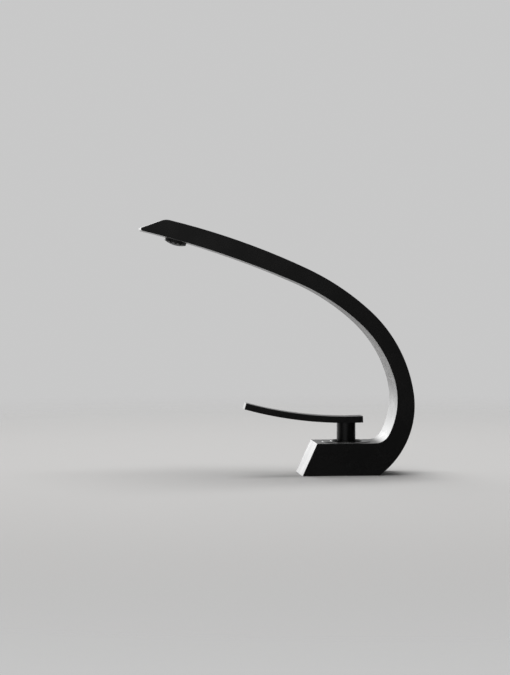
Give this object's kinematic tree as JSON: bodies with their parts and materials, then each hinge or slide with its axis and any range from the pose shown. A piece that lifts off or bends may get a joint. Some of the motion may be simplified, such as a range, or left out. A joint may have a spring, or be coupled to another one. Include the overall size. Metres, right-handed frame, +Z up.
{
  "type": "bathroom mixer faucet",
  "caption": "Deck-mounted single-lever basin mixer with a flat-sided crescent spout, a slim curved lever on a round neck and a threaded shank clamped below the deck.",
  "frame": {"origin": "on the deck surface, on the vertical axis of the valve and the shank", "axes": "+Z up, -Y along the spout towards the basin, +X to the user's right"},
  "size_m": [0.048, 0.2444, 0.2782],
  "materials": {
    "matte_black": "matte black coat",
    "black_plastic": "moulded, matte",
    "brass": "turned",
    "steel": "stainless, turned",
    "grey_plastic": "moulded, glass-filled",
    "white_plastic": "moulded",
    "ceramic": "lapped",
    "rubber": "moulded, matte"
  },
  "bodies": {
    "faucet": {"faucet_body": "matte_black", "bezel_ring": "matte_black", "bezel_o_ring": "rubber", "cartridge_nut": "brass", "cartridge_housing": "grey_plastic", "housing_o_ring": "rubber", "cartridge_base": "grey_plastic", "port_seals": "rubber", "fixed_disc": "ceramic", "shank": "brass", "shank_seal": "rubber", "deck_gasket": "rubber", "aerator_housing": "black_plastic", "aerator_insert": "grey_plastic", "aerator_gasket": "rubber"},
    "swivel": {"rotor": "white_plastic", "pivot_pin": "steel"},
    "lever": {"lever_blade": "matte_black", "lever_neck": "matte_black", "spindle": "brass", "grub_screw": "steel", "screw_plug": "black_plastic"},
    "disc_slider": {"moving_disc": "ceramic", "disc_carrier": "grey_plastic"},
    "clamp": {"clamp_gasket": "rubber", "clamp_washer": "steel"},
    "nut": {"lock_nut": "brass"}
  },
  "joints": [
    {"name": "lever_swivel", "type": "hinge", "parent": "faucet", "child": "swivel", "pos_m": [0, 0, 0.0199], "axis": [0, 0, 1], "range_deg": [-45, 45]},
    {"name": "lever_lift", "type": "hinge", "parent": "swivel", "child": "lever", "pos_m": [0, 0, 0.0199], "axis": [-1, 0, 0], "range_deg": [0, 18]},
    {"name": "disc_slide", "type": "slide", "parent": "swivel", "child": "disc_slider", "axis": [0, -1, 0], "range_m": [0, 0.0034]},
    {"name": "clamp_travel", "type": "slide", "parent": "faucet", "child": "clamp", "axis": [0, 0, 1], "range_m": [-0.01501, 0.01501]},
    {"name": "nut_turn", "type": "hinge", "parent": "clamp", "child": "nut", "pos_m": [0, 0, -0.029], "axis": [0, 0, 1], "range_deg": [-3600, 3600]}
  ],
  "couplings": [
    {"joint": "disc_slide", "follows": "lever_lift", "m_per_rad": 0.01082},
    {"joint": "clamp_travel", "follows": "nut_turn", "m_per_rad": 0.00023873}
  ]
}
